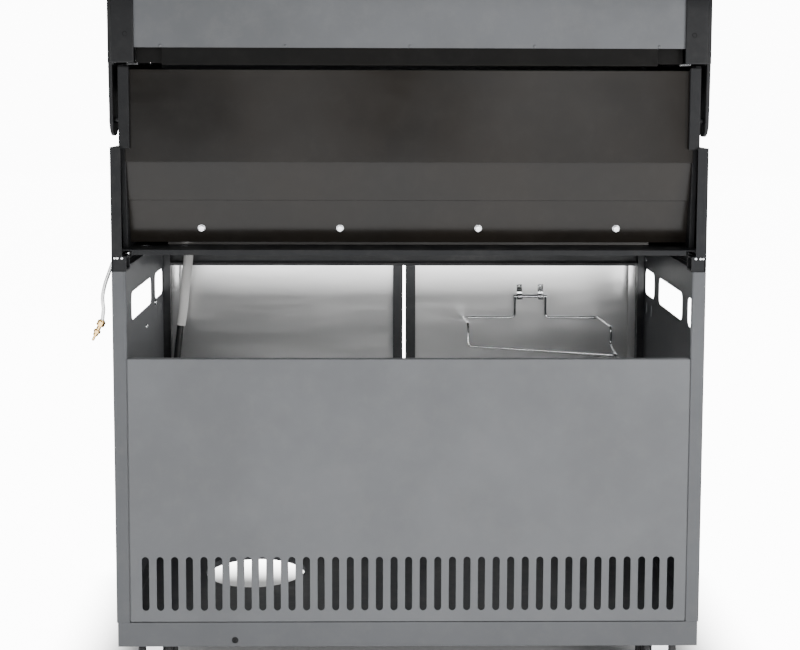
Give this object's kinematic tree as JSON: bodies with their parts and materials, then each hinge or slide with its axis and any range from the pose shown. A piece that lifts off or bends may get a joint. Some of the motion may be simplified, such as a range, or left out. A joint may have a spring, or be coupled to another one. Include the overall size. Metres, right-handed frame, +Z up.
{
  "type": "gas barbecue grill",
  "caption": "Gas barbecue grill on a vented cabinet cart with doors, roll-top hood, enamelled firebox, knobs and swivel casters.",
  "frame": {"origin": "on the floor under the middle of the grill", "axes": "+Z up, front with doors and knobs faces -Y, vented back panel faces +Y, +X to the right seen from the front"},
  "size_m": [0.9582, 0.56, 1.204],
  "materials": {
    "grey_panel": "satin grey powder coat",
    "black_frame": "satin black powder coat",
    "enamel_black": "semi-gloss vitreous enamel",
    "cast_black": "satin black painted die casting",
    "stainless": "brushed stainless steel",
    "chrome_wire": "bright chrome plate",
    "zinc": "zinc plate",
    "grate_iron": "matt enamelled cast iron",
    "burner_steel": "plain stainless tube",
    "brass": "turned brass",
    "pipe_steel": "bare drawn tube",
    "wheel_black": "hard black tread",
    "knob_black": "satin phenolic",
    "hose_black": "smooth black hose",
    "sleeve_white": "braided glass fibre sleeve",
    "regulator_grey": "grey die casting"
  },
  "bodies": {
    "cart": {"base_panel": "grey_panel", "side_panel_left": "grey_panel", "side_panel_right": "grey_panel", "back_panel": "grey_panel", "front_frame": "black_frame", "screws": "zinc", "caster_plates": "zinc", "hinge_pins": "zinc", "firebox_rear": "enamel_black", "firebox_front": "enamel_black", "firebox_end_left": "cast_black", "firebox_end_right": "cast_black", "side_casing_left": "black_frame", "side_casing_right": "black_frame", "foot_brackets": "black_frame", "heat_shield": "black_frame", "burners": "burner_steel", "flame_tamers": "stainless", "control_panel": "stainless", "knob_bezels": "chrome_wire", "manifold": "pipe_steel", "gas_valves": "brass", "gas_hose": "hose_black", "hose_sleeve": "sleeve_white", "regulator": "regulator_grey", "burner_pipe": "pipe_steel", "pipe_orifice": "brass"},
    "hood": {"hood_skin": "grey_panel", "hood_band": "enamel_black", "hood_cap_left": "cast_black", "hood_cap_right": "cast_black", "hood_handle": "stainless", "thermometer": "stainless"},
    "left_door": {"door_left": "stainless", "door_trim_left": "black_frame", "holder_clips": "chrome_wire"},
    "right_door": {"door_right": "stainless", "door_trim_right": "black_frame"},
    "holder": {"wire_holder": "chrome_wire"},
    "tray": {"drip_tray": "stainless"},
    "grates": {"cooking_grates": "grate_iron"},
    "rack": {"warming_rack": "chrome_wire"},
    "stem_1": {"valve_stem_1": "brass"},
    "dial_1": {"knob_1": "knob_black"},
    "stem_2": {"valve_stem_2": "brass"},
    "dial_2": {"knob_2": "knob_black"},
    "stem_3": {"valve_stem_3": "brass"},
    "dial_3": {"knob_3": "knob_black"},
    "stem_4": {"valve_stem_4": "brass"},
    "dial_4": {"knob_4": "knob_black"},
    "stem_5": {"valve_stem_5": "brass"},
    "dial_5": {"knob_5": "knob_black"},
    "caster_1": {"caster_body_1": "zinc"},
    "wheels_1": {"caster_wheels_1": "wheel_black"},
    "caster_2": {"caster_body_2": "zinc"},
    "wheels_2": {"caster_wheels_2": "wheel_black"},
    "caster_3": {"caster_body_3": "zinc"},
    "wheels_3": {"caster_wheels_3": "wheel_black"},
    "caster_4": {"caster_body_4": "zinc"},
    "wheels_4": {"caster_wheels_4": "wheel_black"}
  },
  "joints": [
    {"name": "hood_lift", "type": "hinge", "parent": "cart", "child": "hood", "pos_m": [0, 0.244, 0.892], "axis": [-1, 0, 0], "range_deg": [0, 85]},
    {"name": "left_door_swing", "type": "hinge", "parent": "cart", "child": "left_door", "pos_m": [-0.443, -0.231, 0.37], "axis": [0, 0, -1], "range_deg": [0, 110]},
    {"name": "right_door_swing", "type": "hinge", "parent": "cart", "child": "right_door", "pos_m": [0.443, -0.231, 0.37], "axis": [0, 0, 1], "range_deg": [0, 110]},
    {"name": "holder_swing", "type": "hinge", "parent": "left_door", "child": "holder", "pos_m": [-0.238, -0.2318, 0.552], "axis": [1, 0, 0], "range_deg": [0, 40]},
    {"name": "tray_pull", "type": "slide", "parent": "cart", "child": "tray", "axis": [0, -1, 0], "range_m": [0, 0.32]},
    {"name": "grate_lift", "type": "slide", "parent": "cart", "child": "grates", "axis": [0, 0, 1], "range_m": [0, 0.06]},
    {"name": "rack_lift", "type": "slide", "parent": "cart", "child": "rack", "axis": [0, 0, 1], "range_m": [0, 0.05]},
    {"name": "knob_push_1", "type": "slide", "parent": "cart", "child": "stem_1", "axis": [0, 1, 0], "range_m": [0, 0.003], "stiffness_N_per_m": 2000},
    {"name": "knob_turn_1", "type": "hinge", "parent": "stem_1", "child": "dial_1", "pos_m": [-0.3195, -0.256, 0.815], "axis": [0, -1, 0], "range_deg": [0, 125]},
    {"name": "knob_push_2", "type": "slide", "parent": "cart", "child": "stem_2", "axis": [0, 1, 0], "range_m": [0, 0.003], "stiffness_N_per_m": 2000},
    {"name": "knob_turn_2", "type": "hinge", "parent": "stem_2", "child": "dial_2", "pos_m": [-0.1065, -0.256, 0.815], "axis": [0, -1, 0], "range_deg": [0, 125]},
    {"name": "knob_push_3", "type": "slide", "parent": "cart", "child": "stem_3", "axis": [0, 1, 0], "range_m": [0, 0.003], "stiffness_N_per_m": 2000},
    {"name": "knob_turn_3", "type": "hinge", "parent": "stem_3", "child": "dial_3", "pos_m": [0.1065, -0.256, 0.815], "axis": [0, -1, 0], "range_deg": [0, 125]},
    {"name": "knob_push_4", "type": "slide", "parent": "cart", "child": "stem_4", "axis": [0, 1, 0], "range_m": [0, 0.003], "stiffness_N_per_m": 2000},
    {"name": "knob_turn_4", "type": "hinge", "parent": "stem_4", "child": "dial_4", "pos_m": [0.3195, -0.256, 0.815], "axis": [0, -1, 0], "range_deg": [0, 125]},
    {"name": "knob_push_5", "type": "slide", "parent": "cart", "child": "stem_5", "axis": [0, 1, 0], "range_m": [0, 0.003], "stiffness_N_per_m": 2000},
    {"name": "knob_turn_5", "type": "hinge", "parent": "stem_5", "child": "dial_5", "pos_m": [0.395, -0.256, 0.815], "axis": [0, -1, 0], "range_deg": [0, 125]},
    {"name": "caster_swivel_1", "type": "hinge", "parent": "cart", "child": "caster_1", "pos_m": [-0.399, -0.171, 0.06], "axis": [0, 0, 1], "continuous": true},
    {"name": "wheel_roll_1", "type": "hinge", "parent": "caster_1", "child": "wheels_1", "pos_m": [-0.399, -0.149, 0.038], "axis": [1, 0, 0], "continuous": true},
    {"name": "caster_swivel_2", "type": "hinge", "parent": "cart", "child": "caster_2", "pos_m": [-0.399, 0.227, 0.06], "axis": [0, 0, 1], "continuous": true},
    {"name": "wheel_roll_2", "type": "hinge", "parent": "caster_2", "child": "wheels_2", "pos_m": [-0.399, 0.205, 0.038], "axis": [1, 0, 0], "continuous": true},
    {"name": "caster_swivel_3", "type": "hinge", "parent": "cart", "child": "caster_3", "pos_m": [0.399, -0.171, 0.06], "axis": [0, 0, 1], "continuous": true},
    {"name": "wheel_roll_3", "type": "hinge", "parent": "caster_3", "child": "wheels_3", "pos_m": [0.399, -0.149, 0.038], "axis": [1, 0, 0], "continuous": true},
    {"name": "caster_swivel_4", "type": "hinge", "parent": "cart", "child": "caster_4", "pos_m": [0.399, 0.227, 0.06], "axis": [0, 0, 1], "continuous": true},
    {"name": "wheel_roll_4", "type": "hinge", "parent": "caster_4", "child": "wheels_4", "pos_m": [0.399, 0.205, 0.038], "axis": [1, 0, 0], "continuous": true}
  ]
}
